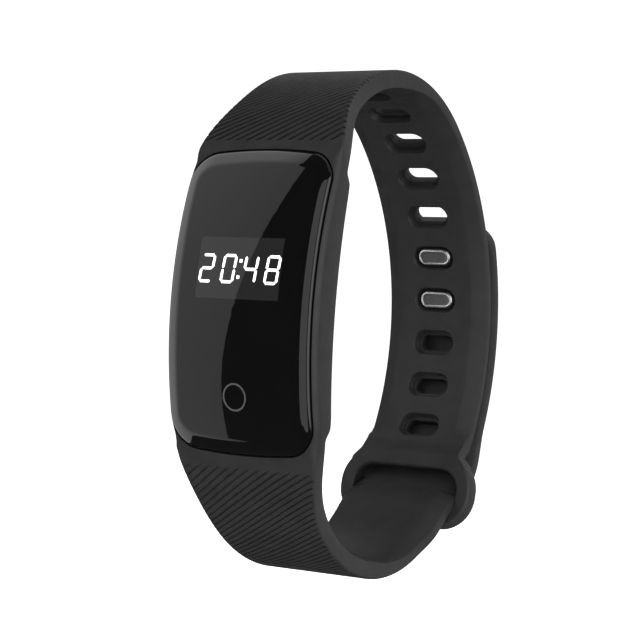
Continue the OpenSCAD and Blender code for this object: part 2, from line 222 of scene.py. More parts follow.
def grey(v, tint=1.02):
    """Grey of brightness v, with a trace more blue."""
    return (v, v, v * tint)


SILICONE = surface("silicone", grey(0.018), grey(0.023), (0.48, 0.58), scale=400,
                   grain=0.012, grain_scale=7000, Specular_IOR_Level=0.42)
GLASS = surface("cover_glass_black", grey(0.0022), grey(0.003), (0.0, 0.012), scale=150,
                IOR=1.5, Specular_IOR_Level=0.5)
DISPLAY = surface("display_window", grey(0.016), grey(0.018), (0.0, 0.012), scale=2500)
RING = surface("touch_ring_print", grey(0.05), grey(0.07), (0.25, 0.35), scale=3000)
STEEL = surface("polished_steel", grey(0.62, 1.01), grey(0.72, 1.01), (0.06, 0.14), metallic=1.0,
                scale=1200, grain=0.002, grain_scale=9000, stretch=(1, 6, 6))
PEG_RIM = surface("peg_rim", grey(0.82, 1.0), grey(0.9, 1.0), (0.24, 0.32), metallic=1.0,
                  scale=4000)
PEG_FACE = surface("peg_face", grey(0.065), grey(0.095), (0.35, 0.48), metallic=0.6, scale=5200,
                   grain=0.006, grain_scale=14000)
PLASTIC = surface("black_plastic", grey(0.018), grey(0.024), (0.42, 0.55), scale=900, grain=0.008)
FOAM = surface("foam", grey(0.03), grey(0.05), (0.75, 0.9), scale=3500, grain=0.05)
FILM = surface("black_film", grey(0.008), grey(0.011), (0.3, 0.42), scale=1500, grain=0.003)
FLEX = surface("amber_flex", (0.35, 0.15, 0.03), (0.45, 0.2, 0.045), (0.25, 0.35), scale=1800)
BOARD = surface("green_board", (0.012, 0.1, 0.045), (0.02, 0.14, 0.06), (0.3, 0.42), scale=2600,
                grain=0.01)
CHIP = surface("chip_black", grey(0.02), grey(0.028), (0.4, 0.55), scale=4000, grain=0.006)
CERAMIC = surface("ceramic", (0.6, 0.58, 0.5), (0.7, 0.68, 0.6), (0.3, 0.4), scale=2500)
COPPER = surface("copper", (0.7, 0.36, 0.2), (0.8, 0.45, 0.26), (0.2, 0.32), metallic=1.0)
FOIL = surface("foil_pouch", grey(0.5), grey(0.6), (0.28, 0.4), metallic=0.9, grain=0.02,
               grain_scale=1800)
TUNGSTEN = surface("dense_alloy", (0.28, 0.26, 0.24), (0.36, 0.33, 0.3), (0.4, 0.55), metallic=1.0,
                   grain=0.01)
GOLD = surface("gold_plate", (0.83, 0.6, 0.25), (0.9, 0.68, 0.32), (0.14, 0.24), metallic=1.0)


def glowing_digits():
    """White light of the lit clock segments."""
    material, tree, shader = node_material("display_digits_light")
    tree.links.new(ramp(tree, object_noise(tree, 6000), grey(0.85), grey(1.0)),
                   shader.inputs["Base Color"])
    shader.inputs["Emission Color"].default_value = (1, 1, 1, 1)
    shader.inputs["Emission Strength"].default_value = 1.3
    return material


DIGITS = glowing_digits()

# ---------------------------------------------------------------------------------------------
# Mesh helpers
# ---------------------------------------------------------------------------------------------
def build(name, verts, faces, material, sharp=38.0):
    """A mesh piece from vertices in mm, smooth except where its faces meet at more than sharp."""
    mesh = bpy.data.meshes.new(name)
    mesh.from_pydata([tuple(MM * c for c in v) for v in verts], [], faces)
    mesh.validate()
    obj = bpy.data.objects.new(name, mesh)
    bpy.context.collection.objects.link(obj)
    for m in material if isinstance(material, (list, tuple)) else [material]:
        mesh.materials.append(m)
    tidy(mesh, sharp)
    return obj


def tidy(mesh, sharp):
    """Turns every face outwards and shades the mesh smooth up to the angle sharp."""
    work = bmesh.new()
    work.from_mesh(mesh)
    bmesh.ops.recalc_face_normals(work, faces=work.faces)
    work.to_mesh(mesh)
    work.free()
    mesh.shade_smooth()
    mesh.set_sharp_from_angle(angle=math.radians(sharp))


def loft(rings, closed=False, caps=True):
    """Vertices and faces of a skin over rings of equal length."""
    count = len(rings[0])
    verts = [tuple(p) for ring in rings for p in ring]
    faces = []
    for j in range(len(rings) if closed else len(rings) - 1):
        k = (j + 1) % len(rings)
        for i in range(count):
            n = (i + 1) % count
            faces.append((j * count + i, j * count + n, k * count + n, k * count + i))
    if caps and not closed:
        faces.append(tuple(range(count))[::-1])
        faces.append(tuple(range((len(rings) - 1) * count, len(rings) * count)))
    return verts, faces


def merge(parts):
    """Vertices and faces of several parts as one mesh."""
    verts, faces = [], []
    for part_verts, part_faces in parts:
        faces += [tuple(len(verts) + i for i in face) for face in part_faces]
        verts += part_verts
    return verts, faces


def rounded_outline(w, l, r, per_corner=10, crown=0.0, per_side=1):
    """Points [x, z] round a rectangle with round corners, from the right side over the top.

    crown lifts the middle of its ends, and per_side is how many steps each side is split into.
    """
    points = []
    corners = [(1, 1, 0), (-1, 1, 90), (-1, -1, 180), (1, -1, 270)]
    for sx, sz, start in corners:
        for k in range(per_corner + 1):
            t = math.radians(start + 90 * k / per_corner)
            points.append([sx * (w / 2 - r) + r * math.cos(t),
                           sz * (l / 2 - r) + r * math.sin(t)])
    out = []
    for i, p in enumerate(points):
        q = points[(i + 1) % len(points)]
        out.append(p)
        if (i + 1) % (per_corner + 1) == 0:
            out += [[p[axis] + (q[axis] - p[axis]) * k / per_side for axis in (0, 1)]
                    for k in range(1, per_side)]
    return [[x, z + math.copysign(crown, z) * (1 - (2 * x / w) ** 2) * min(1, abs(2 * z / l))]
            for x, z in out]


def on_layer(a, radius, centre=BACK_C):
    """Function that places [x, tangent, height] on a layer of the band at angle a."""
    out, along = normal(a), np.array([math.sin(math.radians(a)), math.cos(math.radians(a))])

    def place(x, t, h):
        y, z = centre + (radius + h) * out + t * along
        return (x, y, z)

    return place


def obround(length, width, per_end=12):
    """Points [x, tangent] round a slot shape, with per_end steps round each end."""
    r = width / 2
    ends = [(length / 2 - r, -90), (r - length / 2, 90)]
    return [[cx + r * math.cos(math.radians(start + 180 * k / per_end)),
             r * math.sin(math.radians(start + 180 * k / per_end))]
            for cx, start in ends for k in range(per_end + 1)]


def cut(obj, *cutters, sharp=38.0):
    """Cuts closed cutter meshes out of obj and applies the result."""
    for cutter in cutters:
        change = obj.modifiers.new("cut", "BOOLEAN")
        change.operation, change.solver, change.object = "DIFFERENCE", "EXACT", cutter
    graph = bpy.context.evaluated_depsgraph_get()
    mesh = bpy.data.meshes.new_from_object(obj.evaluated_get(graph))
    obj.modifiers.clear()
    obj.data = mesh
    for cutter in cutters:
        bpy.data.objects.remove(cutter)
    mesh.shade_smooth()
    mesh.set_sharp_from_angle(angle=math.radians(sharp))


# ---------------------------------------------------------------------------------------------
# The silicone band: one ring of points swept along its angles
# ---------------------------------------------------------------------------------------------
EDGE_R, CARRIER_EDGE_R = 0.35, 1.35
CARRIER_EDGE_TO, CARRIER_FRONT_Y = 19.3, -15.0
GROOVES = 13
GROOVE_DEPTH, LOWER_DEPTH_SHARE = 0.3, 0.6
GROOVE_SLANT = math.tan(math.radians(56))
GROOVE_AT = [0.0, 0.07, 0.17, 0.27, 0.34, 0.67]
GROOVE_SHARE = [0.0, 0.8, 1.0, 0.8, 0.0, 0.0]
PER_GROOVE = len(GROOVE_AT)
COLUMNS = GROOVES * PER_GROOVE
UPPER_GROOVES = (26.9, 93.0)
LOWER_GROOVES = (-120.0, -22.6)
GROOVE_RUNOUT, AFTER_GROOVES = 0.8, 0.6  # degrees without a groove at a field's end, and after it
BAND_SHARP = 17


def groove_place(k):
    """Where column k lies across the strap, counted in grooves."""
    return k // PER_GROOVE + GROOVE_AT[k % PER_GROOVE]


def ring_rest(w, t, bevel, edge):
    """The ring's [x, depth] points round the side and the wrist side, from right to left."""
    turns = [math.radians(15 * k) for k in range(1, 7)]
    right = [(w - edge + edge * math.sin(turn), edge * (1 - math.cos(turn))) for turn in turns]
    drop, run = 0.1 + 0.8 * bevel, 0.35 + 1.75 * bevel  # depth and width of the inner bevel
    side = t - drop
    right += [(w, edge + (side - edge) * 0.5), (w, side - 0.12), (w - 0.05, side + 0.02)]
    right += [(w - 0.18, side + 0.02 + 0.14 * drop / run + 0.02), (w - run + 0.25, t - 0.1 * drop)]
    right += [(w - run, t - 0.005)]
    flat = [((w - run) * (1 - k / 5), t) for k in range(1, 5)]
    half = right + flat
    return half + [(0, t)] + [(-x, d) for x, d in reversed(half)]


class Row:
    """One cross-section of the band: where it is, its size, and the phase of its grooves."""

    def __init__(self, point, inward, w, t, bevel, phase, groove=0.0, sheared=False):
        self.point, self.inward, self.w, self.t, self.bevel = point, inward, w, t, bevel
        self.phase, self.groove, self.sheared = phase, groove, sheared

    def notch(self, k):
        """How deep the outer face is cut at column k."""
        return GROOVE_DEPTH * GROOVE_SHARE[k % PER_GROOVE] * self.groove

    def edge(self):
        """Radius of the outer edge, which is larger along the carrier's front."""
        height = abs(self.point[1] - MODULE_Z)
        share = smooth((CARRIER_EDGE_TO - height) / 2) * (self.point[0] < CARRIER_FRONT_Y)
        return EDGE_R + (CARRIER_EDGE_R - EDGE_R) * share

    def ring(self):
        """The points of the cross-section in space, from the outer face round to the wrist side."""
        edge = self.edge()
        reach = self.w - edge
        points = []
        for i in range(COLUMNS + 1):
            k = self.phase + i
            u = -1 + (groove_place(k) - groove_place(self.phase)) * 2 / GROOVES
            points.append((u * reach, self.notch(k)))
        ends = {1: self.notch(self.phase + COLUMNS), -1: self.notch(self.phase)}
        points += [(x, max(d, ends[1 if x > 0 else -1]))
                   for x, d in ring_rest(self.w, self.t, self.bevel, edge)]
        return [(x, *(self.point + d * self.inward)) for x, d in points]


def band_skin(name, rows):
    """A skin over the rows. A sheared row's outer columns are shifted by one to the row before."""
    rings = [row.ring() for row in rows]
    count = len(rings[0])
    verts = [p for ring in rings for p in ring]
    faces = []
    for j in range(len(rows) - 1):
        a, b = j * count, (j + 1) * count
        start = COLUMNS if rows[j + 1].sheared else 0
        if rows[j + 1].sheared:
            faces += [(a, b + 1, b), (a + COLUMNS - 1, a + COLUMNS, b + COLUMNS)]
            faces += [(a + i, a + i + 1, b + i + 2, b + i + 1) for i in range(COLUMNS - 1)]
        for i in range(start, count):
            n = (i + 1) % count
            faces.append((a + i, a + n, b + n, b + i))
    faces.append(tuple(range(count))[::-1])
    faces.append(tuple(range((len(rows) - 1) * count, len(rows) * count)))
    return build(name, verts, faces, SILICONE, sharp=BAND_SHARP)


BEVEL_FROM, BEVEL_RISE, BEVEL_FADE = 82.0, 32.0, 2.5


def arc_row(a, phase, lift=0.0, **extra):
    """The band's cross-section at angle a. Its inner bevel starts behind the carrier."""
    fade = smooth((a - NECK_FROM + BEVEL_FADE) / BEVEL_FADE)
    bevel = smooth((abs(a) - BEVEL_FROM) / BEVEL_RISE) * (1 - fade)
    return Row(outer_point(a, lift), -normal(a), half_width(a), thickness(a), bevel, phase,
               **extra)


def step_lift(a):
    """How far the lower strap has stepped out, over the hole strap, at angle a."""
    return LAYER * smooth((-a - STEP_FROM) / (STEP_TO - STEP_FROM))


FINE_STEP, COARSE_STEP, FINE_REACH = 0.3, 0.8, 1.2


def plain_stations(start, end):
    """Angles from start to end, close together only where the thickness steps."""
    a, out = start, [start]
    while a < end - 1e-6:
        height = abs(outer_point(a)[1] - MODULE_Z)
        at_step = abs(height - CARRIER_HALF) < FINE_REACH and abs(a) < CARRIER_ARC
        a = min(end, a + math.degrees((FINE_STEP if at_step else COARSE_STEP) / arc(a)[1]))
        out.append(a)
    return out


def grooved_rows(start, end, phase):
    """Rows whose columns shift by one each time, so that the grooves run slantwise."""
    rows, a, j = [], start, 0
    while a < end:
        groove = 0.0 if j in (0, 1) or end - a < GROOVE_RUNOUT else 1.0
        rows.append((a, phase, groove, j > 0))
        phase -= 1
        gap = groove_place(phase + 1) - groove_place(phase)
        across = gap * 2 / GROOVES * (half_width(a) - EDGE_R)
        a += math.degrees(across / GROOVE_SLANT / arc(a)[1])
        j += 1
    return rows, phase + 1


def band_rows(first, last):
    """Rows of the band from the angle first to the angle last, with both groove fields."""
    rows, phase, at = [], 0, first
    for start, end in (LOWER_GROOVES, UPPER_GROOVES):
        rows += [arc_row(a, phase, step_lift(a)) for a in plain_stations(at, start)[:-1]]
        grooved, phase = grooved_rows(start, end, phase)
        share = LOWER_DEPTH_SHARE if end < 0 else 1
        rows += [arc_row(a, p, groove=g * share, sheared=s) for a, p, g, s in grooved]
        at = grooved[-1][0] + AFTER_GROOVES
    rows += [arc_row(a, phase) for a in plain_stations(at, last)]
    return rows, phase


LEAN_UP = np.array([math.sin(math.radians(KEEPER_LEAN)), math.cos(math.radians(KEEPER_LEAN))])
LEAN_IN = np.array([-math.cos(math.radians(KEEPER_LEAN)), math.sin(math.radians(KEEPER_LEAN))])


def keeper_point(up, inward):
    """[y, z] of a place in the leaning keeper loop, from its middle."""
    return KEEPER_MID + up * LEAN_UP + inward * LEAN_IN


def hermite(p, u, q, v, steps):
    """Points of the smooth curve that leaves p along u and reaches q along v."""
    out = []
    for k in np.linspace(0, 1, steps + 1)[1:]:
        out.append((2 * k ** 3 - 3 * k * k + 1) * p + (k ** 3 - 2 * k * k + k) * u
                   + (3 * k * k - 2 * k ** 3) * q + (k ** 3 - k * k) * v)
    return out


NECK_PULL = 2.2  # how firmly the neck's curve holds its direction at both ends
NECK_END, NECK_RUN = 0.45, 1.2
NECK_FLARE, FLARE_OVER, FLARE_RUN = 1.3, 0.3, 1.95
NECK_INSET = (0.03, 0.015)  # of the neck's end against the keeper's faces, away and wrist side


def neck_rows(a, phase, steps=10, straight=6):
    """Rows that bend the upper strap's end into the keeper's top bar and then run down along it."""
    along = np.array([math.sin(math.radians(a)), math.cos(math.radians(a))])
    curves = []
    for depth, inward in ((0.0, -KEEPER_T / 2 + NECK_INSET[0]),
                          (STRAP_T, KEEPER_T / 2 + NECK_INSET[1])):
        start, end = outer_point(a, -depth), keeper_point(KEEPER_H / 2 - NECK_END, inward)
        curves.append(hermite(start, along * NECK_PULL, end, -LEAN_UP * NECK_PULL, steps)
                      + [keeper_point(KEEPER_H / 2 - NECK_END - NECK_RUN * k / straight, inward)
                         for k in range(1, straight + 1)])
    rows = []
    for outside, inside in zip(*curves):
        t = float(np.linalg.norm(inside - outside))
        up = (inside - KEEPER_MID) @ LEAN_UP
        w = STRAP_END_W / 2 + NECK_FLARE * smooth((KEEPER_H / 2 + FLARE_OVER - up) / FLARE_RUN)
        rows.append(Row(outside, (inside - outside) / t, w, t, 0, phase))
    return rows


def slot_angles():
    """Angle of each slot, with the radius and centre of the arc that it is on."""
    for k in range(SLOTS):
        s = k * SLOT_PITCH - SLOT_START
        if s > 0:
            yield BACK_FROM + s * SLOT_ARC, BACK_R, BACK_C
        else:
            yield BACK_FROM + math.degrees(s / SHOULDER_R), SHOULDER_R, SHOULDER_C


# Height above the wrist side, length and width of each ring of a slot's recess and hole
RECESS_RINGS = [(-1.0, 6.5, 3.5), (-0.02, 6.5, 3.5), (0.1, 6.32, 3.32), (0.94, 6.22, 3.22),
                (1.0, 6.1, 3.1)]
HOLE_RINGS = [(1.02, 5.25, 2.3), (1.12, 5.1, 2.12), (STRAP_T - 0.2, 5.05, 2.08),
              (STRAP_T + 0.05, 5.4, 2.4), (STRAP_T + 1, 5.4, 2.4)]


def obround_loft(place, profile, per_end):
    """Vertices and faces of a closed obround post with the profile's [height, length, width]."""
    return loft([[place(x, t, h) for x, t in obround(length, wide, per_end)]
                 for h, length, wide in profile])


def slot_cutter():
    """All slots at once: a recess on the wrist side and a straight hole, with soft mouths."""
    return build("slot_cutter", *merge(
        obround_loft(on_layer(a, radius - STRAP_T, centre), RECESS_RINGS + HOLE_RINGS, 12)
        for a, radius, centre in slot_angles()), SILICONE)


def front_y(z, lift=0.0):
    """Y of the front face, or of a face lift in front of it, at height z above its middle."""
    return FRONT_C[0] - math.sqrt((FRONT_R + lift) ** 2 - z * z)


GLASS_GAP, SEAT_DEPTH = 0.15, 0.45
WINDOW_W, WINDOW_LEN, WINDOW_CORNER = 18.9, 32.7, 3.0


def opening_cutter(front=-40, behind=-10):
    """The seat of the module: a shallow recess round the glass and a narrower window behind it."""
    wide = rounded_outline(GLASS_W + 2 * GLASS_GAP, GLASS_LEN + 2 * GLASS_GAP,
                           GLASS_CORNER + GLASS_GAP, 12, GLASS_CROWN, 16)
    narrow = rounded_outline(WINDOW_W, WINDOW_LEN, WINDOW_CORNER, 12, per_side=16)
    rings = [[(x, front, z + MODULE_Z) for x, z in wide],
             [(x, front_y(z, -SEAT_DEPTH), z + MODULE_Z) for x, z in wide],
             [(x, front_y(z, -SEAT_DEPTH), z + MODULE_Z) for x, z in narrow],
             [(x, behind, z + MODULE_Z) for x, z in narrow]]
    return build("opening_cutter", *loft(rings), SILICONE)


SPLIT = -144.0  # where the band's skin ends in the keeper and the tail's skin takes over
rows, last_phase = band_rows(SPLIT, NECK_FROM)
band = band_skin("silicone_band", rows + neck_rows(NECK_FROM, last_phase))
cut(band, slot_cutter(), opening_cutter())
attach(band, "band")
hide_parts("carrier", "hole_strap", "lower_strap")


LOOP_CORNER, LOOP_WINDOW_CORNER = 4.8, 2.95
LOOP_OUTER_R, LOOP_INNER_R = 0.55, 0.45


def loop_section(length):
    """[outwards, height] round the loop's bar, which is length thick, with rounded edges."""
    corners = [(length - LOOP_OUTER_R, 1, LOOP_OUTER_R, 0), (LOOP_INNER_R, 1, LOOP_INNER_R, 90),
               (LOOP_INNER_R, -1, LOOP_INNER_R, 180), (length - LOOP_OUTER_R, -1, LOOP_OUTER_R, 270)]
    for middle, side, r, start in corners:
        for k in range(7):
            t = math.radians(start + 15 * k)
            yield middle + r * math.cos(t), side * (KEEPER_T / 2 - r) + r * math.sin(t)


def keeper():
    """The loop: a rounded section carried round a rounded rectangle."""
    outer = rounded_outline(KEEPER_W, KEEPER_H, LOOP_CORNER, 12, per_side=6)
    inner = rounded_outline(KEEPER_W - 2 * KEEPER_BAR, KEEPER_H - 2 * KEEPER_BAR,
                            LOOP_WINDOW_CORNER, 12, per_side=6)
    rings = []
    for (xo, zo), (xi, zi) in zip(outer, inner):
        length = math.hypot(xo - xi, zo - zi)
        rings.append([(xi + (xo - xi) * share / length,
                       *keeper_point(zi + (zo - zi) * share / length, h))
                      for share, h in loop_section(length)])
    return build("keeper_loop_skin", *loft(rings, closed=True), SILICONE)


loop = keeper()
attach(loop, "band")
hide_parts("keeper_loop")


TAIL_THINNER, TIP_THINNER, TIP_RUN = 0.35, 0.9, 4.0
TAIL_BEVEL, TAIL_BEVEL_RUN = 0.8, 9.0
TIP_FINE, TIP_LEAST, TIP_DONE = 6.0, 0.04, 0.06


def tail_rows():
    """The lower strap's end from inside the keeper up to the tail's rounded tip."""
    rows = []
    tip = -(360 - TIP_ANGLE)
    a = SPLIT
    radius = BACK_R + LAYER
    while a > tip:
        left = math.radians(a - tip) * radius
        w = STRAP_END_W / 2
        if left < TIP_CORNER:
            w -= TIP_CORNER - math.sqrt(TIP_CORNER ** 2 - (TIP_CORNER - left) ** 2)
        w += half_width(a) - STRAP_END_W / 2
        thinner = TAIL_THINNER * smooth((-a - STEP_TO) / 12)
        t = STRAP_T - thinner - TIP_THINNER * (1 - smooth(left / TIP_RUN))
        lift = step_lift(a) - (STRAP_T - t)
        bevel = TAIL_BEVEL * smooth(left / TAIL_BEVEL_RUN)
        rows.append(Row(outer_point(a, lift), -normal(a), w, t, bevel, 0))
        step = COARSE_STEP if left > TIP_FINE else max(TIP_LEAST, 0.16 * min(left, TIP_RUN))
        a -= math.degrees(step / radius)
        if left < TIP_DONE:
            break
    return rows[::-1]


tail = band_skin("silicone_tail", tail_rows())


SEAT_W, SEAT_LEN, SEAT_CORNER, SEAT_DEEP = 8.1, 12.1, 2.55, 0.8


def clasp_seat():
    """The recess that holds the clasp plate flush in the tail's outer face."""
    a = BACK_FROM + (PEG_SLOT * SLOT_PITCH - SLOT_START + SLOT_PITCH / 2) * SLOT_ARC
    outline = rounded_outline(SEAT_W, SEAT_LEN, SEAT_CORNER, 8, per_side=8)
    outside = BACK_R + LAYER
    rings = [[(x, *(BACK_C + radius * normal(a - math.degrees(t / outside)))) for x, t in outline]
             for radius in (outside - SEAT_DEEP, outside + 2)]
    return build("clasp_seat", *loft(rings), SILICONE)


cut(tail, clasp_seat())
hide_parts("tail_strap")
joint = next(j for j in frame["joints"] if j["name"] == "tail_peel")
hinge = Vector(joint["pos_m"])
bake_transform(tail)

# ---------------------------------------------------------------------------------------------
# Clasp pegs
# ---------------------------------------------------------------------------------------------
# Height above the strap's wrist side, length and width of each ring of a peg, from its foot
PEG_RINGS = [(STRAP_T + 1.6, 4.0, 1.6), (1.0, 4.0, 1.6), (0.98, 4.8, 2.05), (0.92, 5.1, 2.3),
             (0.8, 5.2, 2.4), (0.55, 5.2, 2.4), (0.36, 5.04, 2.24), (0.26, 4.72, 1.92),
             (0.25, 4.5, 1.7), (0.29, 4.4, 1.6), (0.32, 4.34, 1.54), (0.32, 3.4, 0.8)]
PEG_END_STEPS = 14


def pegs():
    """Both pegs: a post with a wide head each, and a bright rim round the head's dull face."""
    angles = [BACK_FROM + (PEG_SLOT * SLOT_PITCH - SLOT_START + k * SLOT_PITCH) * SLOT_ARC
              for k in (0, 1)]
    parts = [obround_loft(on_layer(a, BACK_R - STRAP_T), PEG_RINGS, PEG_END_STEPS) for a in angles]
    obj = build("clasp_peg_pair", *merge(parts), [PEG_RIM, PEG_FACE], sharp=50)
    per_ring = 2 * (PEG_END_STEPS + 1)
    for polygon in obj.data.polygons:
        if (min(polygon.vertices) // per_ring) % len(PEG_RINGS) >= len(PEG_RINGS) - 2:
            polygon.material_index = 1
    return obj


peg_pair = pegs()
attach(peg_pair, "tail")
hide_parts("clasp_pegs")

# ---------------------------------------------------------------------------------------------
# Cover glass, display window, digits and touch ring
# ---------------------------------------------------------------------------------------------
# Inset from the outline and height over the carrier's front of each ring of the glass's rim
GLASS_RIM = [(0.0, -0.5), (0.0, -0.25), (0.04, -0.08), (0.12, 0.07), (0.25, 0.19), (0.42, 0.28),
             (0.75, 0.42), (1.1, 0.57), (1.35, 0.67), (1.52, 0.735), (1.7, 0.78), (1.9, 0.8)]
MIDDLE_GAP = 0.02
CORNER_STEPS, SIDE_STEPS, INNER_RINGS = 12, 28, 14


def aim_normals(mesh, first):
    """Points the normals from vertex first on straight out of the glass's curve."""
    centre = Vector((0, FRONT_C[0] * MM, FRONT_C[1] * MM))
    normals = []
    for vertex in mesh.vertices:
        away = vertex.co - centre
        away.x = 0
        normals.append(away.normalized() if vertex.index >= first else vertex.normal.copy())
    mesh.set_sharp_from_angle(angle=math.pi)
    mesh.normals_split_custom_set_from_vertices(normals)


def strip_cap(start, count, top):
    """Faces across the last ring, between points at the same distance either side of top."""
    across = [(start + (top - k) % count, start + (top + k) % count) for k in range(count // 2 + 1)]
    faces = [(a, b, d, c) for (a, b), (c, d) in zip(across[1:-2], across[2:-1])]
    return faces + [(across[0][0], across[1][1], across[1][0]),
                    (across[-2][0], across[-2][1], across[-1][0])]


def glass():
    """Long crowned glass with a rounded rim, as rings that close in on its middle line."""
    rim_w = GLASS_RIM[-1][0]
    inner = [rim_w + (GLASS_W / 2 - (rim_w + MIDDLE_GAP)) * k / INNER_RINGS
             for k in range(1, INNER_RINGS + 1)]
    rings = []
    for inset, lift in GLASS_RIM + [(i, GLASS_PROUD) for i in inner]:
        w, l = GLASS_W - 2 * inset, GLASS_LEN - 2 * inset
        corner = min(max(0.02, GLASS_CORNER - inset * 0.75), w / 2 - 0.005)
        outline = rounded_outline(w, l, corner, CORNER_STEPS, GLASS_CROWN, SIDE_STEPS)
        rings.append([(x, front_y(z, lift), z + MODULE_Z) for x, z in outline])
    verts, faces = loft(rings, caps=False)
    count = len(rings[0])
    faces += strip_cap(len(verts) - count, count, CORNER_STEPS + SIDE_STEPS // 2)
    faces.append(tuple(range(count))[::-1])
    obj = build("cover_glass_skin", verts, faces, GLASS, sharp=60)
    aim_normals(obj.data, (len(GLASS_RIM) - 1) * count)
    return obj


PRINT_SUNK, DIGIT_LIFT, RING_LIFT, WINDOW_LIFT = -0.02, 0.012, 0.008, 0.005


def on_glass(x, z, lift):
    """A point on the glass, lift in front of it."""
    return (x, front_y(z, GLASS_PROUD + lift), z + MODULE_Z)


def glass_patch(name, outlines, material):
    """Flat shapes lying on the glass, each a thin closed slab that follows its curve."""
    slabs = [loft([[on_glass(x, z, h) for x, z in outline] for h in (PRINT_SUNK, DIGIT_LIFT)])
             for outline in outlines]
    return build(name, *merge(slabs), material)


DIGIT_H, DIGIT_W, DIGIT_PITCH, STROKE = 3.6, 2.05, 3.24, 0.35
SLANT, DIGIT_SHIFT, SEGMENT_GAP, DOT = math.tan(math.radians(5.5)), 0.1, 0.05, 0.2
DISPLAY_Z, DISPLAY_W, DISPLAY_H = 3.8, 12.3, 7.6
SEGMENTS = {"a": ((0, 2), (1, 2)), "b": ((1, 2), (1, 1)), "c": ((1, 1), (1, 0)), "d": ((0, 0), (1, 0)),
            "e": ((0, 1), (0, 0)), "f": ((0, 2), (0, 1)), "g": ((0, 1), (1, 1))}
LIT = {"0": "abcdef", "2": "abged", "4": "fgbc", "8": "abcdefg"}


def segment(left, bottom, name):
    """A bar with pointed ends between two corners of a digit's grid."""
    (i0, j0), (i1, j1) = SEGMENTS[name]
    step_x, step_z = DIGIT_W - STROKE, (DIGIT_H - STROKE) / 2
    p = np.array([left + STROKE / 2 + i0 * step_x, bottom + STROKE / 2 + j0 * step_z])
    q = np.array([left + STROKE / 2 + i1 * step_x, bottom + STROKE / 2 + j1 * step_z])
    u = (q - p) / np.linalg.norm(q - p)
    v = np.array([-u[1], u[0]])
    p, q, r = p + u * SEGMENT_GAP, q - u * SEGMENT_GAP, STROKE / 2
    corners = [p, p + (u - v) * r, q - (u + v) * r, q, q + (v - u) * r, p + (u + v) * r]
    return [(x + (z - bottom) * SLANT, z) for x, z in corners]


def digits():
    """Outlines of the clock's lit segments and of its two dots."""
    outlines = []
    bottom = DISPLAY_Z - DIGIT_H / 2 - DIGIT_SHIFT
    left = -(3 * DIGIT_PITCH + DIGIT_W) / 2 - DIGIT_SHIFT
    for k, character in enumerate("2048"):
        outlines += [segment(left + k * DIGIT_PITCH, bottom, s) for s in LIT[character]]
    for share in (0.22, 0.78):
        z = bottom + DIGIT_H * share
        x = left + 2 * DIGIT_PITCH - (DIGIT_PITCH - DIGIT_W) / 2 + (z - bottom) * SLANT
        outlines.append([(x - DOT, z - DOT), (x + DOT, z - DOT), (x + DOT, z + DOT), (x - DOT, z + DOT)])
    return outlines


def touch_ring(centre_z=-11.9, outer=1.72, inner=1.5, steps=72):
    """The thin ring printed on the glass over the touch key."""
    section = [(inner, PRINT_SUNK), (outer, PRINT_SUNK), (outer, RING_LIFT), (inner, RING_LIFT)]
    rings = []
    for k in range(steps):
        t = 2 * math.pi * k / steps
        rings.append([on_glass(r * math.cos(t), centre_z + r * math.sin(t), h)
                      for r, h in section])
    return build("touch_key_ring", *loft(rings, closed=True), RING)


glass_skin = glass()
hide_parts("cover_glass")


def window_patch(steps=12, columns=8):
    """The display's paler window, in strips so that it follows the glass."""
    xs = [DISPLAY_W * (k / columns - 0.5) for k in range(columns + 1)]
    zs = [DISPLAY_Z + DISPLAY_H * (k / steps - 0.5) for k in range(steps + 1)]
    verts = [on_glass(x, z, h) for h in (PRINT_SUNK, WINDOW_LIFT) for z in zs for x in xs]
    n, m = len(xs), len(xs) * len(zs)
    corners = [layer + j * n + i for layer in (0, m) for j in range(steps) for i in range(n - 1)]
    faces = [(c, c + 1, c + n + 1, c + n) for c in corners]
    rim = list(range(n)) + [j * n + n - 1 for j in range(1, steps + 1)]
    rim += [steps * n + i for i in range(n - 2, -1, -1)] + [j * n for j in range(steps - 1, 0, -1)]
    faces += [(rim[k - 1], rim[k], rim[k] + m, rim[k - 1] + m) for k in range(len(rim))]
    return build("display_window_skin", verts, faces, DISPLAY)


display = window_patch()
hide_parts("mask_film")
clock = glass_patch("display_digits", digits(), DIGITS)
ring = touch_ring()
for piece in (glass_skin, display, clock, ring):
    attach(piece, "module")

# ---------------------------------------------------------------------------------------------
# Finishes of the CAD nodes that stay
# ---------------------------------------------------------------------------------------------
FINISH = {
    STEEL: ["clasp_plate", "crystal", "motor_can", "motor_base", "motor_shaft"],
    FILM: ["glass_gasket", "oled_panel"],
    FOAM: ["oled_foam", "battery_foam", "motor_pad", "rear_seal"],
    FLEX: ["oled_flex", "touch_flex"],
    COPPER: ["touch_electrode"],
    PLASTIC: ["mid_frame", "rear_cover"],
    BOARD: ["main_board", "battery_board"],
    CHIP: ["radio_chip", "flash_chip", "accelerometer", "charger_chip"],
    CERAMIC: ["antenna"],
    FOIL: ["battery_cell"],
    TUNGSTEN: ["motor_weight"],
    GOLD: ["charge_contacts"],
}
for material, names in FINISH.items():
    for name in names:
        mesh = frame["nodes"][name].data
        mesh.materials.clear()
        mesh.materials.append(material)

# ---------------------------------------------------------------------------------------------
# Floor, backdrop, lights and camera
# ---------------------------------------------------------------------------------------------
def paper():
    """Pale paper that also glows a little, so that it stays white to its edge."""
    material, tree, shader = node_material("pale_paper")
    tree.links.new(ramp(tree, object_noise(tree, 40), grey(0.9, 1.0), grey(0.93, 1.0)),
                   shader.inputs["Base Color"])
    shader.inputs["Roughness"].default_value = 0.9
    shader.inputs["Emission Color"].default_value = (1, 1, 1, 1)
    shader.inputs["Emission Strength"].default_value = 1.1
    return material


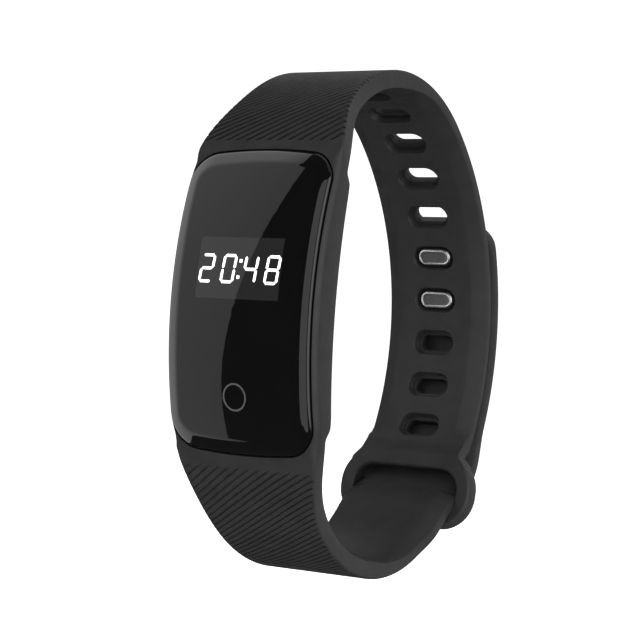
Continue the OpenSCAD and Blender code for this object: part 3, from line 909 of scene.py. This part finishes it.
def round_sheet(name, profile, material, steps=96):
    """A sheet of revolution round the vertical axis, from [radius, height] pairs in metres."""
    turns = [2 * math.pi * k / steps for k in range(steps)]
    verts = [(r * math.cos(t) / MM, r * math.sin(t) / MM, h / MM) for r, h in profile for t in turns]
    faces = [(j * steps + k, (j + 1) * steps + k, (j + 1) * steps + (k + 1) % steps,
              j * steps + (k + 1) % steps)
             for j in range(len(profile) - 1) for k in range(steps)]
    obj = build(name, verts, faces, material)
    obj.visible_glossy = False
    return obj


def studio_floor(height=-0.058, middle=0.0005, near=0.16, radius=2.4, sweep=0.9, top=4.0):
    """A round pale floor that curves up into a wall all round. Only its middle lights the band."""
    material = paper()
    round_sheet("studio_floor", [(middle, height), (near / 2, height), (near, height)], material)
    turns = [math.radians(t) for t in range(0, 91, 6)]
    bend = [(radius + sweep * math.sin(t), height + sweep * (1 - math.cos(t))) for t in turns]
    wall = round_sheet("studio_wall", [(near, height)] + bend + [(radius + sweep, top)], material)
    wall.visible_diffuse = False


studio_floor()


def towards(azimuth, elevation):
    """Unit vector from the object towards that azimuth and elevation, in degrees."""
    a, e = math.radians(azimuth), math.radians(elevation)
    return Vector((math.sin(a) * math.cos(e), -math.cos(a) * math.cos(e), math.sin(e)))


def studio_light(name, azimuth, elevation, distance, size, radiance):
    """A soft area light seen from the object at that azimuth and elevation, with a set brightness."""
    data = bpy.data.lights.new(name, "AREA")
    data.shape, data.size, data.size_y = "RECTANGLE", *size
    data.energy = radiance * math.pi * (size[0] * size[1])
    obj = bpy.data.objects.new(name, data)
    bpy.context.collection.objects.link(obj)
    back = towards(azimuth, elevation)
    obj.location = back * distance
    obj.rotation_mode = "QUATERNION"
    obj.rotation_quaternion = back.to_track_quat("Z", "Y")
    obj.visible_camera = False
    return obj


CARD_GLOW = ((0, 0.72), (0.12, 1.2), (0.42, 1.2), (0.6, 1.25))  # brightness across the card


def card_material():
    """Black that glows by CARD_GLOW from the card's bowed edge to its far side."""
    material, tree, shader = node_material("card_glow")
    place = tree.nodes.new("ShaderNodeUVMap")
    split = tree.nodes.new("ShaderNodeSeparateXYZ")
    tree.links.new(place.outputs["UV"], split.inputs["Vector"])
    glow = tree.nodes.new("ShaderNodeValToRGB")
    stops = glow.color_ramp.elements
    for k, (share, level) in enumerate(CARD_GLOW):
        stop = stops[k] if k < 2 else stops.new(share)
        stop.position, stop.color = share, (level, level, level, 1)
    tree.links.new(split.outputs["X"], glow.inputs["Fac"])
    tree.links.new(glow.outputs["Color"], shader.inputs["Emission Color"])
    shader.inputs["Emission Strength"].default_value = 1.0
    shader.inputs["Base Color"].default_value = (0, 0, 0, 1)
    return material


def card_light(azimuth, distance, edge, width, heights, bow, middle, rows=48, columns=12):
    """A glowing card whose bowed right edge draws the border of the reflection on the glass.

    Lengths are in metres: edge is how far right of the card's centre line the edge bulges at the
    height middle, and bow is how fast it curves back. The card is dimmer at that edge. It lights
    only the glass, what is printed on it, and the pegs.
    """
    a = math.radians(azimuth)
    back = Vector((math.sin(a), -math.cos(a), 0)) * distance
    right = Vector((math.cos(a), math.sin(a), 0))
    verts, spots = [], []
    for j in range(rows + 1):
        v = heights[0] + (heights[1] - heights[0]) * j / rows
        u_edge = edge - bow * (v - middle) ** 2
        for i in range(columns + 1):
            u = u_edge - width * i / columns
            verts.append((back + right * u + Vector((0, 0, v))) / MM)
            spots.append((i / columns, j / rows))
    n = columns + 1
    faces = [(j * n + i, j * n + i + 1, (j + 1) * n + i + 1, (j + 1) * n + i)
             for j in range(rows) for i in range(columns)]
    obj = build("left_card", verts, faces, card_material())
    layer = obj.data.uv_layers.new(name="card")
    for corner in obj.data.loops:
        layer.data[corner.index].uv = spots[corner.vertex_index]
    obj.visible_camera = obj.visible_shadow = obj.visible_diffuse = False
    lit = bpy.data.collections.new("lit_by_card")
    for piece in (glass_skin, display, clock, ring, peg_pair):
        lit.objects.link(piece)
    obj.light_linking.receiver_collection = lit


card_light(azimuth=-65.6, distance=0.6, edge=0.367, width=0.9, heights=(-0.62, 1.3), bow=0.46,
           middle=0.045)
studio_light("front_fill", 66, 10, 0.9, (0.8, 1.1), 1.6)
left_fill = studio_light("left_fill", -45, 30, 0.9, (0.9, 0.9), 3.4)
left_fill.visible_glossy = False
studio_light("right_softbox", 84, 8, 0.8, (0.7, 1.0), 0.8)
studio_light("bevel_strip", 22, 0, 0.9, (0.32, 1.5), 1.1)
studio_light("back_wall", 180, 20, 1.2, (2.6, 2.2), 0.5)
studio_light("top_softbox", 147, 65, 0.9, (1.2, 1.2), 0.4)

world = bpy.data.worlds.new("studio")
world.use_nodes = True
world.node_tree.nodes["Background"].inputs["Color"].default_value = (1, 1, 1, 1)
world.node_tree.nodes["Background"].inputs["Strength"].default_value = 0.05
bpy.context.scene.world = world
bpy.context.scene.view_settings.view_transform = "Standard"

VIEW_AZIMUTH, VIEW_ELEVATION, VIEW_ROLL = 33.0, -2.3, 4.47
VIEW_DISTANCE, VIEW_TARGET = 0.2671, Vector((-0.00437, -0.0022, 0.00023))
LENS, SENSOR = 112.5, 36


def add_camera():
    """The camera at the photograph's angle."""
    data = bpy.data.cameras.new("camera")
    data.lens, data.sensor_width = LENS, SENSOR
    data.clip_start, data.clip_end = 0.01, 20
    camera = bpy.data.objects.new("camera", data)
    bpy.context.collection.objects.link(camera)
    back = towards(VIEW_AZIMUTH, VIEW_ELEVATION)
    camera.location = VIEW_TARGET + back * VIEW_DISTANCE
    roll = Matrix.Rotation(math.radians(VIEW_ROLL), 3, "Z")
    camera.rotation_mode = "QUATERNION"
    camera.rotation_quaternion = (back.to_track_quat("Z", "Y").to_matrix() @ roll).to_quaternion()
    bpy.context.scene.camera = camera


add_camera()
